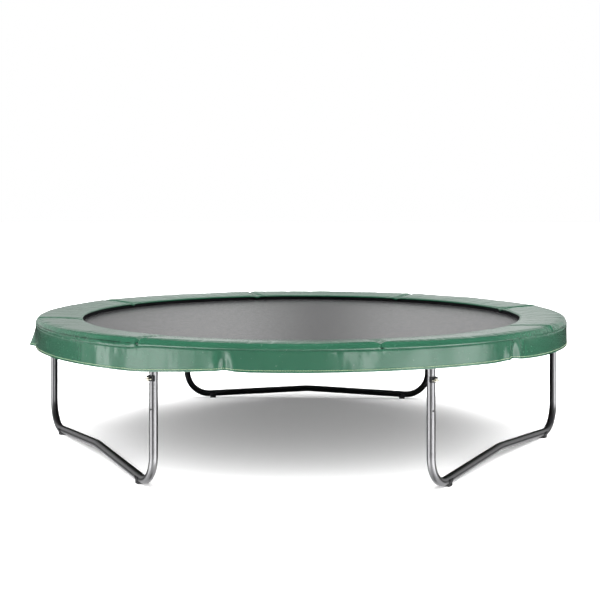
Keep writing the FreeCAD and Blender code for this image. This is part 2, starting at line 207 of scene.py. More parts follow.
# ---------------------------------------------------------------- materials
class Nodes:
    """Short calls for building a node tree."""

    def __init__(self, tree):
        self.tree = tree

    def node(self, kind, **settings):
        node = self.tree.nodes.new(kind)
        for key, value in settings.items():
            if key in node.inputs:
                node.inputs[key].default_value = value
            else:
                setattr(node, key, value)
        return node

    def link(self, source, target):
        self.tree.links.new(source, target)
        return target

    def math(self, operation, first, second=0.0):
        node = self.node("ShaderNodeMath", operation=operation)
        for slot, value in enumerate((first, second)):
            if isinstance(value, (int, float)):
                node.inputs[slot].default_value = value
            else:
                self.link(value, node.inputs[slot])
        return node.outputs["Value"]

    def rising(self, value, low, high):
        """0 below low, 1 above high, smooth between them."""
        node = self.node("ShaderNodeMapRange", interpolation_type="SMOOTHSTEP")
        node.inputs["From Min"].default_value = low
        node.inputs["From Max"].default_value = high
        self.link(value, node.inputs["Value"])
        return node.outputs["Result"]


class Look(Nodes):
    """A node material on the Principled shader."""

    def __init__(self, name, colour, roughness, metallic=0.0, **sockets):
        self.material = bpy.data.materials.new(name)
        self.material.use_nodes = True
        super().__init__(self.material.node_tree)
        self.shader = self.tree.nodes["Principled BSDF"]
        self.set("Base Color", (*colour, 1.0))
        self.set("Roughness", roughness)
        self.set("Metallic", metallic)
        for socket, value in sockets.items():
            self.set(socket.replace("_", " "), value)

    def set(self, socket, value):
        self.shader.inputs[socket].default_value = value

    def coordinates(self, kind="Object", scale=(1.0, 1.0, 1.0)):
        source = self.node("ShaderNodeTexCoord")
        mapping = self.node("ShaderNodeMapping")
        mapping.inputs["Scale"].default_value = scale
        self.link(source.outputs[kind], mapping.inputs["Vector"])
        return mapping.outputs["Vector"]

    def noise(self, vector, scale, detail=3.0, roughness=0.55):
        node = self.node("ShaderNodeTexNoise", Scale=scale, Detail=detail, Roughness=roughness)
        self.link(vector, node.inputs["Vector"])
        return node.outputs["Fac"]

    def ramp(self, value, low, high):
        """Spread a value between two colours or grey levels."""
        node = self.node("ShaderNodeValToRGB")
        self.link(value, node.inputs["Fac"])
        node.color_ramp.elements[0].position = 0.3
        node.color_ramp.elements[1].position = 0.7
        for element, level in zip(node.color_ramp.elements, (low, high)):
            colour = level if hasattr(level, "__len__") else (level, level, level)
            element.color = (*colour, 1.0)
        return node.outputs["Color"]

    def weave(self, vector, pitch):
        """Height of a plain weave with the given pitch in metres."""
        parts = self.node("ShaderNodeSeparateXYZ")
        self.link(vector, parts.inputs["Vector"])
        waves = []
        for axis in ("X", "Y"):
            turned = self.math("MULTIPLY", parts.outputs[axis], TAU / pitch)
            waves.append(self.math("SINE", turned))
        return self.math("MULTIPLY", *waves)

    def bump(self, height, distance, strength=1.0, below=None):
        node = self.node("ShaderNodeBump", Strength=strength, Distance=distance)
        self.link(height, node.inputs["Height"])
        if below is not None:
            self.link(below, node.inputs["Normal"])
        self.link(node.outputs["Normal"], self.shader.inputs["Normal"])
        return node.outputs["Normal"]


def green_pvc():
    """Coated fabric: clouded green, worn gloss, fine scrim, and streaks that run across each panel."""
    look = Look("green_pvc", (0.022, 0.102, 0.058), 0.24, Specular_IOR_Level=0.5,
                Coat_Weight=0.8, Coat_Roughness=0.13)
    place = look.coordinates("Object")
    cloud = look.noise(place, 3.0, 4.0)
    look.link(look.ramp(cloud, (0.0165, 0.079, 0.045), (0.0205, 0.096, 0.054)),
              look.shader.inputs["Base Color"])
    look.link(look.ramp(look.noise(place, 55.0, 5.0), 0.2, 0.28), look.shader.inputs["Roughness"])
    scrim = look.bump(look.weave(look.coordinates("UV"), 2.4 * MM), 0.012 * MM, 0.5)
    creased = look.bump(look.noise(place, 90.0, 4.0), 0.04 * MM, 0.5, below=scrim)
    streaks = look.noise(look.coordinates("UV", (1.0, 0.07, 1.0)), 75.0, 3.0)
    streaked = look.bump(streaks, 0.1 * MM, 0.6, below=creased)
    look.bump(look.noise(place, 14.0, 3.0), 0.6 * MM, 0.4, below=streaked)
    return look.material


def mat_fabric():
    look = Look("mat_weave", (0.014, 0.014, 0.015), 0.22, Specular_IOR_Level=0.7,
                Sheen_Weight=0.08, Sheen_Roughness=0.35)
    place = look.coordinates("Object")
    cloud = look.noise(place, 5.0, 5.0)
    look.link(look.ramp(cloud, (0.011, 0.011, 0.012), (0.018, 0.018, 0.019)),
              look.shader.inputs["Base Color"])
    worn = look.noise(place, 40.0, 4.0)
    look.link(look.ramp(worn, 0.19, 0.24), look.shader.inputs["Roughness"])
    look.bump(look.weave(place, 3.2 * MM), 0.03 * MM, 0.5)
    return look.material


def webbing():
    look = Look("black_webbing", (0.016, 0.016, 0.018), 0.75, Sheen_Weight=0.25, Sheen_Roughness=0.5)
    place = look.coordinates("Object")
    look.link(look.ramp(look.noise(place, 60.0), (0.012, 0.012, 0.013), (0.022, 0.022, 0.024)),
              look.shader.inputs["Base Color"])
    look.bump(look.weave(place, 1.6 * MM), 0.3 * MM, 0.8)
    return look.material


def backing_fabric():
    look = Look("black_backing", (0.008, 0.008, 0.009), 0.9, Specular_IOR_Level=0.2)
    place = look.coordinates("Object")
    look.link(look.ramp(look.noise(place, 25.0), (0.006, 0.006, 0.007), (0.011, 0.011, 0.012)),
              look.shader.inputs["Base Color"])
    woven = look.bump(look.weave(place, 1.4 * MM), 0.15 * MM, 0.7)
    look.bump(look.noise(place, 12.0, 3.0), 2.0 * MM, 0.6, below=woven)
    return look.material


def steel(name, colour, roughness_low, roughness_high, streak):
    """Bright zinc coating: faint spangle and streaks drawn out along the piece."""
    look = Look(name, colour, roughness_low, metallic=1.0)
    place = look.coordinates("Object")
    spangle = look.noise(place, 120.0, 3.0)
    darker = tuple(level * 0.9 for level in colour)
    look.link(look.ramp(spangle, darker, colour), look.shader.inputs["Base Color"])
    drawn = look.noise(look.coordinates("Object", streak), 30.0, 4.0)
    look.link(look.ramp(drawn, roughness_low, roughness_high), look.shader.inputs["Roughness"])
    look.bump(look.noise(place, 260.0, 2.0), 0.006 * MM, 0.3)
    return look.material


def black_plastic():
    look = Look("black_plastic", (0.018, 0.018, 0.02), 0.42, Specular_IOR_Level=0.5)
    place = look.coordinates("Object")
    look.link(look.ramp(look.noise(place, 35.0), (0.014, 0.014, 0.015), (0.024, 0.024, 0.026)),
              look.shader.inputs["Base Color"])
    look.link(look.ramp(look.noise(place, 150.0), 0.36, 0.52), look.shader.inputs["Roughness"])
    look.bump(look.noise(place, 1400.0, 2.0), 0.06 * MM, 0.4)
    return look.material


def thread(name, colour):
    look = Look(name, colour, 0.6, Sheen_Weight=0.2)
    place = look.coordinates("Object")
    darker = tuple(level * 0.8 for level in colour)
    look.link(look.ramp(look.noise(place, 300.0), darker, colour), look.shader.inputs["Base Color"])
    return look.material


def floor_paint():
    look = Look("studio_floor", (0.92, 0.92, 0.92), 0.9, Specular_IOR_Level=0.1)
    look.set("Emission Color", (1.0, 1.0, 1.0, 1.0))
    look.set("Emission Strength", 0.14)
    return look.material


LOOKS = {
    "green_pvc": green_pvc(),
    "mat_weave": mat_fabric(),
    "black_webbing": webbing(),
    "black_backing": backing_fabric(),
    "black_elastic": webbing(),
    "galvanised_steel": steel("galvanised_steel", (0.37, 0.37, 0.38), 0.28, 0.36, (1.0, 1.0, 0.08)),
    "spring_steel": steel("spring_steel", (0.74, 0.75, 0.77), 0.2, 0.32, (1.0, 1.0, 1.0)),
    "zinc_hardware": steel("zinc_hardware", (0.72, 0.69, 0.58), 0.22, 0.38, (1.0, 1.0, 1.0)),
    "black_plastic": black_plastic(),
    "hem_thread": thread("hem_thread", (0.5, 0.62, 0.36)),
    "dark_thread": thread("dark_thread", (0.02, 0.09, 0.055)),
    "grey_thread": thread("grey_thread", (0.2, 0.2, 0.2)),
}


# ---------------------------------------------------------------- where the cloth hangs unevenly
# Heights read off the photograph where it shows them; the back is a guess.
HEM_LINE = [  # (degrees about +Z, height of the skirt's lower edge in millimetres)
    (16, 587), (61, 590), (106, 592), (151, 583), (190, 561), (201, 563), (206, 566),
    (241, 567), (250, 582), (256, 592), (258.5, 600), (261.5, 592), (286, 594), (310.5, 593),
    (315.3, 602), (318.5, 592), (326, 586), (340, 583), (376, 587),
]
SEAM_LINE = [  # (degrees about +Z, height in millimetres of the seam between pad and skirt)
    (16, 696), (106, 698), (151, 695), (190, 692), (214, 685), (224, 681), (239.5, 681),
    (242.5, 695), (252, 697), (313, 697), (331, 692), (345, 694), (376, 696),
]
PUCKERS = [(258.5, 1.0), (315.3, 1.15)]     # (degrees, strength) of the two tight folds in the skirt
LOOSE_CORNER = 190.5      # degrees, where the skirt stands away from the ring


def level_around(line, angle):
    """Height in metres at each angle, read from a listed line and rounded off at its points."""
    turns = np.array([turn for turn, _ in line], float)
    heights = np.array([height for _, height in line], float)
    fine = np.linspace(16, 376, 721)
    level = np.interp(fine, turns, heights)
    for _ in range(2):
        around = np.r_[level[-2:], level, level[:2]]
        level = np.convolve(around, [0.15, 0.2, 0.3, 0.2, 0.15], "same")[2:-2]
    return np.interp(16 + (angle - 16) % 360, fine, level) * MM


# ---------------------------------------------------------------- padded spring cover
PANEL_COLUMNS = 221
ROLL_REACH = 21 * MM      # how far the rounded outer edge of the pad reaches
EDGE_RADIUS = 4 * MM      # rounding of the pad's inner edge
EDGE_THICKNESS = 8.5 * MM
APRON = 6.5 * MM          # folded cloth that hangs between the ring and the seam
SEAM_TUCK = 2.2 * MM      # how far the cloth draws in at the seam
CORNER_ROWS = 7           # rows of the section around the rounding of the inner edge
TOP_ROWS = 32             # rows from there to the start of the roll
ROLL_ROWS = 17            # rows around the rounded outer edge
UNDER_ROWS = 9            # rows back along the underside
NOTCH_DEPTH = 9.0         # millimetres that the roll draws in at a radial seam
NOTCH_WIDTH = 0.009


def pad_section(seam_level):
    """Closed section of a panel for each seam level: radius, height, share across, looseness."""
    thickness = PAD_HIGH - PAD_LOW
    rows = []
    for step in np.linspace(0, 1, CORNER_ROWS):
        turn = step * math.pi / 2
        rows.append((PAD_INNER + EDGE_RADIUS * (1 - math.sin(turn)),
                     PAD_LOW + EDGE_THICKNESS - (EDGE_THICKNESS - 1.5 * MM) * math.cos(turn),
                     0.0, 0.4 * step))
    shoulder = PAD_OUTER - ROLL_REACH
    for step in np.linspace(0, 1, TOP_ROWS)[1:] ** 1.3:
        rise = 1 - (1 - step) ** 1.8
        rows.append((PAD_INNER + (shoulder - PAD_INNER) * step,
                     PAD_LOW + EDGE_THICKNESS + (thickness - EDGE_THICKNESS) * rise,
                     step, 0.4 + 0.6 * min(5 * step, 1)))
    fixed = [np.broadcast_to(np.array(row), seam_level.shape + (4,)) for row in rows]
    drop = PAD_HIGH - seam_level
    for step in np.linspace(0, 1, ROLL_ROWS)[1:]:
        turn = step * math.pi / 2
        tuck = SEAM_TUCK * smooth_step(step, 0.82, 1.0)
        fixed.append(np.stack(np.broadcast_arrays(
            shoulder + ROLL_REACH * math.sin(turn) ** 0.94 - tuck,
            PAD_HIGH - drop * (1 - math.cos(turn)) ** 0.97, 1.0, 1 - 0.75 * step), -1))
    apron = ((3.5 * MM, 0.0, -0.6 * MM), (APRON, 0.0, 0.6 * MM), (APRON, 0.6, 0), (APRON, 1.0, 0))
    for inward, share, rise in apron:
        height = seam_level + (PAD_LOW - seam_level) * share + rise
        fixed.append(np.stack(np.broadcast_arrays(PAD_OUTER - inward, height, 1.0, 0.0), -1))
    for step in np.linspace(0, 1, UNDER_ROWS)[1:-1]:
        radius = PAD_OUTER - APRON + (PAD_INNER + EDGE_RADIUS - PAD_OUTER + APRON) * step
        fixed.append(np.stack(np.broadcast_arrays(radius, PAD_LOW + 0 * seam_level, 1 - step, 0.0), -1))
    return np.stack(fixed, 1)


def pad_panel(number):
    """One padded panel between two radial seams, with the creases of stretched coated fabric."""
    start = FIRST_SEAM + number * PANEL_SWEEP
    share = np.linspace(0, 1, PANEL_COLUMNS)
    angle = start + PANEL_SWEEP * (0.00035 + 0.9993 * (share - 0.04 * np.sin(TAU * share)))
    section = pad_section(level_around(SEAM_LINE, angle))
    radius, height, across, loose = (section[..., item] for item in range(4))
    arc = np.radians(angle)[:, None] * PAD_OUTER
    to_seam = np.radians(np.minimum(angle - start, start + PANEL_SWEEP - angle))[:, None] * radius
    seam = bell(to_seam, 12 * MM)
    puff = lattice_noise(arc / 0.19, across * 1.4, 11)
    slant = 0.045 * lattice_noise(arc / 0.3, across * 0, 5)
    fold = creases((arc + slant * across) / 0.062, across * 0.9, 23) * smooth_step(to_seam, 0, 0.05)
    fold_fine = creases((arc - slant * across) / 0.026, across * 1.6 + 7, 31)
    gathered = bell(to_seam, 0.055) * lattice_noise(arc / 0.015, across * 1.2, 61)
    lift = (0.9 * puff - 1.3 * fold - 0.3 * fold_fine + 0.6 * gathered) * MM * loose
    sunk = 1 - 0.3 * seam * np.clip(loose * 2, 0, 1) * (height > PAD_LOW)
    z = PAD_LOW + (height - PAD_LOW) * sunk + lift * (1 - 0.6 * seam)
    z = np.where((loose > 0) & (radius < RING_EDGE), np.maximum(z, PAD_LOW + 0.3 * MM), z)
    z = np.where(loose > 0, z, height)
    z = z - 7.5 * MM * bell(to_seam, 0.016) * (across == 0)
    edge_wave = 2.0 * MM * lattice_noise(arc / 0.14, across * 0, 71) - 5 * MM * bell(to_seam, 0.018)
    r = radius + edge_wave * (1 - smooth_step(across, 0, 0.25))
    side_weight = smooth_step(radius, PAD_OUTER - ROLL_REACH, PAD_OUTER) * np.clip(loose * 2, 0, 1)
    bulge = (1.1 * lattice_noise(arc / 0.075, across * 0 + 2, 83)
             - 1.3 * creases(arc / 0.034, height / 0.012, 97))
    notch = NOTCH_DEPTH * bell(to_seam, NOTCH_WIDTH)
    r = r + (bulge - notch) * MM * side_weight
    along = np.concatenate([[0], np.cumsum(np.hypot(np.diff(radius[0]), np.diff(height[0])))])
    uvs = np.stack(np.broadcast_arrays(arc, along[None, :]), -1)
    return ring_points(angle[:, None], r, z), uvs


SIM_STRIDE = 2            # every second column of a panel takes part in the simulation
SIM_FRAMES = 14
SIM_CAP = 3 * MM          # farthest that a point may move
SIM_PRESSURE = 1.4
SIM_SHRINK = -0.007       # below nought, the cloth grows by this share
WALL_ROWS = CORNER_ROWS   # rows of the section on the inner edge
FREE_ROWS = 51            # rows up to the lower part of the roll; the rest is sewn or lies underneath


def cloth_copy(points):
    """One mesh with all the panels' coarse grids, sewn rows and columns in the group "sewn"."""
    panels, columns, rows = points.shape[:3]
    faces = []
    for number in range(panels):
        first = number * columns * rows
        faces += [tuple(index + first for index in face) for face in capped_tube_faces(columns, rows)]
    cloth = new_piece("cloth", points, faces, LOOKS["green_pvc"])
    shell = bmesh.new()
    shell.from_mesh(cloth.data)
    bmesh.ops.recalc_face_normals(shell, faces=shell.faces)
    shell.to_mesh(cloth.data)
    shell.free()
    sewn = np.zeros((panels, columns, rows), bool)
    sewn[:, [0, -1]] = True
    sewn[:, :, :WALL_ROWS] = True
    sewn[:, :, FREE_ROWS:] = True
    cloth.vertex_groups.new(name="sewn").add(np.flatnonzero(sewn).tolist(), 1.0, "REPLACE")
    return cloth


def settle(points):
    """Puff the covers out by cloth simulation, held at their seams, then carry that to the full grids."""
    start = points[:, ::SIM_STRIDE]
    piece = cloth_copy(start)
    modifier = piece.modifiers.new("cloth", "CLOTH")
    settings = modifier.settings
    settings.quality = 6
    settings.mass = 0.3
    settings.tension_stiffness = settings.compression_stiffness = 12
    settings.shear_stiffness = 6
    settings.bending_stiffness = 0.3
    settings.shrink_min = SIM_SHRINK
    settings.use_pressure = True
    settings.uniform_pressure_force = SIM_PRESSURE
    settings.effector_weights.gravity = 0.0
    settings.vertex_group_mass = "sewn"
    modifier.collision_settings.use_collision = False
    modifier.point_cache.frame_end = SIM_FRAMES
    scene = bpy.context.scene
    for step in range(1, SIM_FRAMES + 1):
        scene.frame_set(step)
    settled = piece.evaluated_get(bpy.context.evaluated_depsgraph_get()).data
    moved = np.array([vertex.co for vertex in settled.vertices]).reshape(start.shape) - start
    bpy.data.objects.remove(piece)
    scene.frame_set(1)
    distance = np.linalg.norm(moved, axis=-1, keepdims=True)
    moved *= np.minimum(1.0, SIM_CAP / np.maximum(distance, 0.001 * MM))
    full = np.zeros_like(points)
    full[:, ::SIM_STRIDE] = moved
    full[:, 1::SIM_STRIDE] = (moved[:, :-1] + moved[:, 1:]) / 2
    return points + full


# ---------------------------------------------------------------- hanging skirt
HEM_HEIGHT = 13 * MM
SHEET = 0.7 * MM          # half the thickness of the coated fabric
SKIRT_IN = 2.6 * MM       # from the outside of the pad to the middle of the skirt
SKIRT_RISE = 1.0 * MM     # how far the skirt reaches up past the seam
BROAD_WAVE = 2.6          # millimetres in and out, of waves 0.36 m, 0.13 m, 42 mm and 19 mm long
MIDDLE_WAVE = 1.5
SHORT_WAVE = 0.75
FINE_WAVE = 0.2
PUCKER_DEPTH = 10         # millimetres in at a tight fold, and out at the swell on each side of it
LEFT_SWELL = 7
RIGHT_SWELL = 5
LOOSE_REACH = 36          # millimetres that the loose corner stands out
LOOSE_RIPPLE = 5


def skirt_shape(angle, down):
    """(radius, height) of the middle of the skirt; down is 0 at the seam and 1 at the lower edge."""
    top = level_around(SEAM_LINE, angle) + SKIRT_RISE
    height = top + (level_around(HEM_LINE, angle) - top) * down
    arc = np.radians(angle) * PAD_OUTER
    broad = BROAD_WAVE * lattice_noise(arc / 0.36, down * 0.5, 103) * down ** 0.8
    middle = MIDDLE_WAVE * lattice_noise(arc / 0.13, down * 0.8 + 3, 107) * (0.2 + 0.8 * down)
    short = SHORT_WAVE * lattice_noise(arc / 0.042, down * 1.1 + 9, 109) * (1 - 0.4 * down)
    gather = 1.3 * creases(arc / 0.034, down * 0.9, 113) * np.clip(1 - down / 0.4, 0, 1) ** 1.5
    offset = broad + middle + short - gather - 1.5 * bell(down, 0.05) + 1.0 * down
    for place, size in PUCKERS:
        away = np.radians(angle - place) * PAD_OUTER
        groove = bell(away, 0.013 + 0.012 * down)
        left = bell(away + 0.034 + 0.012 * down, 0.024)
        right = bell(away - 0.036 - 0.01 * down, 0.022)
        offset = offset - PUCKER_DEPTH * size * groove * smooth_step(down, -0.1, 0.7)
        offset = offset + LEFT_SWELL * size * left * smooth_step(down, 0, 0.8)
        offset = offset + RIGHT_SWELL * size * right * smooth_step(down, 0, 0.8)
    flare = np.radians(angle - LOOSE_CORNER) * PAD_OUTER
    lean = 0.25 * down + 0.75 * down ** 1.6
    offset = offset + LOOSE_REACH * bell(flare, np.where(flare > 0, 0.065, 0.15)) * lean
    offset = offset + LOOSE_RIPPLE * np.sin(flare / 0.022) * bell(flare, 0.12) * down ** 1.5
    offset = offset + FINE_WAVE * lattice_noise(arc / 0.019, down * 0.7 + 5, 127)
    return PAD_OUTER - SKIRT_IN + offset * MM, height


def skirt_panel(number):
    """One panel of the hanging skirt as a thin closed sheet with a folded hem."""
    start = FIRST_SEAM + number * PANEL_SWEEP
    angle = (start + PANEL_SWEEP * np.linspace(0, 1, PANEL_COLUMNS))[:, None]
    length = level_around(SEAM_LINE, angle) + SKIRT_RISE - level_around(HEM_LINE, angle)
    hem_start = 1 - HEM_HEIGHT / length
    body = np.linspace(0, 1, 27)[:-1][None, :] * hem_start
    hem = hem_start + (1 - hem_start) * np.linspace(0.02, 1, 7)[None, :]
    down = np.concatenate([body, hem], 1)
    in_hem = np.clip((down - hem_start) / (1 - hem_start), 0, 1)
    swell = np.where(down > hem_start, 0.75 * MM * np.sin(math.pi * np.clip(in_hem, 0.08, 0.92)), 0)
    radius, height = skirt_shape(angle, down)
    outer = ring_points(angle, radius + SHEET + swell, height)
    inner = ring_points(angle, radius - SHEET - swell, height)
    points = np.concatenate([outer, inner[:, ::-1]], 1)
    uv = np.stack(np.broadcast_arrays(np.radians(angle) * PAD_OUTER, down * length), -1)
    return points, np.concatenate([uv, uv[:, ::-1]], 1)


def make_pad():
    shapes = [pad_panel(number) for number in range(PANELS)]
    settled = settle(np.array([points for points, _ in shapes]))
    for number in range(PANELS):
        name = f"{number + 1}"
        points, uvs = settled[number], shapes[number][1]
        faces = capped_tube_faces(*points.shape[:2])
        panel = new_piece("pad_panel_" + name, points, faces, LOOKS["green_pvc"], uvs)
        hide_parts("pad_foam_" + name, "pad_cover_" + name)
        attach(panel, "frame")
        points, uvs = skirt_panel(number)
        faces = capped_tube_faces(*points.shape[:2])
        skirt = new_piece("skirt_panel_" + name, points, faces, LOOKS["green_pvc"], uvs)
        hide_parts("pad_skirt_" + name)
        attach(skirt, "frame")


THREAD_HEIGHT = 0.7 * MM
STITCH_PITCH = 7.5 * MM


def sewn_row(points, **size):
    """Stitches at every second point of a line of points, each lying outwards."""
    centres = (points[:-1] + points[1:])[::2] / 2
    along = (points[1:] - points[:-1])[::2]
    along /= np.linalg.norm(along, axis=1)[:, None]
    outward = centres * [1, 1, 0]
    outward /= np.linalg.norm(outward, axis=1)[:, None]
    outward -= along * (outward * along).sum(1)[:, None]
    return stitch_row(centres, along, outward, **size)


def make_pad_stitches():
    """The pale row of thread on the skirt's hem and the dark one under the pad's seam."""
    angle = np.linspace(0, 360, 2 * int(TAU * PAD_OUTER / STITCH_PITCH) + 1)
    length = level_around(SEAM_LINE, angle) - level_around(HEM_LINE, angle)
    rows = (
        ("hem_stitches", 1 - (HEM_HEIGHT - 2.0 * MM) / length, "hem_thread", 1.7 * MM, 6.5 * MM),
        ("seam_stitches", 5 * MM / length, "dark_thread", 0.9 * MM, 4.8 * MM),
    )
    for name, down, look, width, stitch in rows:
        radius, height = skirt_shape(angle, down)
        points = ring_points(angle, radius + SHEET + 0.5 * MM, height)
        meshes = sewn_row(points, length=stitch, width=width, height=THREAD_HEIGHT)
        piece = join_meshes(name, meshes, LOOKS[look])
        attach(piece, "frame")


# ---------------------------------------------------------------- bands and loops
def band(line, thickness, width):
    """(points, faces) of a flat strap: line is (x, z) points of its middle, width lies along y."""
    line = np.asarray(line, float)
    ahead = np.gradient(line, axis=0)
    ahead /= np.linalg.norm(ahead, axis=1)[:, None]
    normal = np.stack([-ahead[:, 1], ahead[:, 0]], -1)
    half = width / 2
    outline = [(-1.0, 0.55), (-0.96, 1.0), (-0.5, 0.92), (0.0, 1.0), (0.5, 0.92), (0.96, 1.0),
               (1.0, 0.55), (1.0, -0.55), (0.96, -1.0), (0.0, -0.95), (-0.96, -1.0), (-1.0, -0.55)]
    rows = []
    for y, lift in outline:
        edge = line + normal * lift * thickness / 2
        rows.append(np.stack([edge[:, 0], np.full(len(line), y * half), edge[:, 1]], -1))
    points = np.stack(rows, 1)
    return points, capped_tube_faces(len(line), len(outline))


def turned(points, degrees):
    """Points turned about the middle of the trampoline."""
    turn = math.radians(degrees)
    x, y = points[..., 0], points[..., 1]
    cos, sin = math.cos(turn), math.sin(turn)
    return np.stack([x * cos - y * sin, x * sin + y * cos, points[..., 2]], -1)


def arc_points(centre, radius, start, end, count):
    """(x, z) points on an arc, angles in degrees from +x towards +z."""
    turns = np.radians(np.linspace(start, end, count))
    return [(centre[0] + radius * math.cos(turn), centre[1] + radius * math.sin(turn)) for turn in turns]


STRAPS = 15
FIRST_STRAP = 12.0        # degrees
STRAP_WIDTH = 20 * MM
STRAP_THICKNESS = 1.2 * MM
STRAP_TAB = 26 * MM       # sewn flat under the backing


def make_straps():
    """Elastic straps around the ring, each end turned flat and sewn to the backing."""
    low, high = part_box("elastic_straps")
    tube = (RING_EDGE - RING_INNER_EDGE) / 2
    centre = (RING_EDGE - tube, RING_TOP - tube)
    reach = centre[1] - low.z - STRAP_THICKNESS / 2
    top = high.z - STRAP_THICKNESS / 2
    bend = 4 * MM
    line = [(centre[0] - reach - STRAP_TAB, top), (centre[0] - reach - STRAP_TAB / 2, top)]
    line += arc_points((centre[0] - reach - bend, top - bend), bend, 90, 0, 5)
    line += arc_points(centre, reach, 180, 360, 25)
    side = centre[0] + reach
    line += [(side, centre[1] + 0.5 * (top - centre[1])), (side, top + 0.2 * MM)]
    points, faces = band(line, STRAP_THICKNESS, STRAP_WIDTH)
    meshes = [(turned(points, FIRST_STRAP + number * 360 / STRAPS), faces) for number in range(STRAPS)]
    straps = join_meshes("ring_straps", meshes, LOOKS["black_elastic"])
    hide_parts("elastic_straps")
    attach(straps, "frame")


SHADE_LIP_DROP = 15 * MM             # how far the backing hangs below the pad's inner edge; the hanging part is painted shade for the gap above the mat
LIP_BEND = 3.5 * MM


def make_backing():
    """Black sheet under the pad, its inner edge turned down into a lip: partly the pad's black underside,
    partly painted shade, a dark strip where the gap between pad and mat lies in shade.
    """
    angle = np.linspace(0, 360, 721)[:-1][:, None]
    middle = (BACKING_HIGH + BACKING_LOW) / 2
    across = np.linspace(BACKING_OUTER, BACKING_INNER + 5 * MM, 13)
    line = [(radius, middle) for radius in across]
    line += arc_points((BACKING_INNER + 4.5 * MM, middle - LIP_BEND), LIP_BEND, 100, 180, 5)
    drops = np.linspace(0.2, 1, 5) * (SHADE_LIP_DROP - LIP_BEND)
    line += [(BACKING_INNER + 1.0 * MM, middle - LIP_BEND - drop) for drop in drops]
    line = np.array(line)
    ahead = np.gradient(line, axis=0)
    ahead /= np.linalg.norm(ahead, axis=1)[:, None]
    normal = np.stack([-ahead[:, 1], ahead[:, 0]], -1)
    hanging = np.clip((middle - line[:, 1]) / SHADE_LIP_DROP, 0, 1)
    arc = np.radians(angle) * BACKING_OUTER
    wave = 1.6 * MM * lattice_noise(arc / 0.09, 0 * arc + 3, 131) * hanging
    sides = []
    for side in (0.35 * MM, -0.35 * MM):
        edge = line + normal * side
        sides.append(ring_points(angle, edge[:, 0] + wave, edge[:, 1]))
    section = np.concatenate([sides[0], sides[1][:, ::-1]], 1)
    rows, columns = section.shape[:2]
    total = rows * columns
    faces = [tuple(index % total for index in face)
             for face in grid_faces(rows + 1, columns, close_columns=True)]
    backing = new_piece("backing_sheet", section, faces, LOOKS["black_backing"])
    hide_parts("pad_backing")
    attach(backing, "frame")


BAR_RADIUS = 2 * MM       # wire of a triangular ring
LOOP_WIDTH = 20 * MM
LOOP_STRAP = 1.7 * MM


def make_loops():
    """Webbing loops that hold the triangular rings, sewn over and under the hem."""
    bar = node_ring("triangle_rings")[0] + BAR_RADIUS
    start = node_ring("webbing_loops")[0]
    gap = (HEM_HIGH - HEM_LOW) / 2 + 0.15 * MM + LOOP_STRAP / 2
    wrap = BAR_RADIUS + 0.15 * MM + LOOP_STRAP / 2
    above = MAT_LEVEL + gap
    line = [(start, above), (start + 6 * MM, above), (HEM_OUTER - 2 * MM, above)]
    line += arc_points((bar, MAT_LEVEL), wrap, 90, -90, 11)
    line += [(x, 2 * MAT_LEVEL - z) for x, z in reversed(line[:3])]
    points, faces = band(line, LOOP_STRAP, LOOP_WIDTH)
    places = [FIRST_SPRING + number * SPRING_PITCH for number in range(SPRINGS)]
    meshes = [(turned(points, place), faces) for place in places]
    loops = join_meshes("sewn_loops", meshes, LOOKS["black_webbing"])
    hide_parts("webbing_loops")
    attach(loops, "mat")


def make_hem():
    """Webbing folded around the rim of the mat, with rows of thread above and below."""
    angle = np.arange(0, 360, 0.75)[:, None]
    inside = MAT_HIGH - MAT_LEVEL + 0.15 * MM
    outside = (HEM_HIGH - HEM_LOW) / 2 - 0.05 * MM
    half = [(HEM_INNER, inside), (HEM_INNER - 0.1 * MM, (inside + outside) / 2),
            (HEM_INNER + 0.3 * MM, outside)]
    for share in (0.15, 0.3, 0.45, 0.6, 0.75, 0.9):
        dip = 0.12 * math.sin(share * math.pi * 6) ** 2
        half.append((HEM_INNER + (HEM_OUTER - HEM_INNER) * share, outside * (1 - dip)))
    half += [(HEM_OUTER - 0.5 * MM, outside * 0.9), (HEM_OUTER - 0.05 * MM, outside * 0.45)]
    groove = [(HEM_OUTER - 1.7 * MM, -inside * 0.8), (HEM_OUTER - 1.7 * MM, inside * 0.8)]
    outline = np.array(half + [(r, -z) for r, z in reversed(half)] + groove)
    section = ring_points(angle, outline[:, 0], MAT_LEVEL + outline[:, 1])
    rows, columns = section.shape[:2]
    total = rows * columns
    faces = [tuple(index % total for index in reversed(face))
             for face in grid_faces(rows + 1, columns, close_columns=True)]
    hem = new_piece("mat_hem_band", section, faces, LOOKS["black_webbing"])
    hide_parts("mat_hem")
    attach(hem, "mat")
    meshes = []
    for row_radius in (HEM_INNER + 5 * MM, HEM_INNER + 24 * MM):
        turns = np.arange(0, 360, 360 * 9 * MM / (TAU * row_radius))
        for side in (1, -1):
            centres = ring_points(turns, row_radius, MAT_LEVEL + side * outside)
            along = ring_points(turns + 90, 1.0, 0.0)
            up = np.broadcast_to([0.0, 0.0, float(side)], centres.shape)
            meshes += stitch_row(centres, along, up, length=5.5 * MM, width=0.9 * MM, height=0.5 * MM)
    thread_rows = join_meshes("hem_band_stitches", meshes, LOOKS["grey_thread"])
    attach(thread_rows, "mat")


# ---------------------------------------------------------------- mat
MAT_SAG = 7 * MM          # how far the middle of the mat hangs below its rim
MAT_RINGS = 46            # rings of points from the middle to the rim
RIM_GAP = 0.2 * MM        # from the rim to the groove of the hem


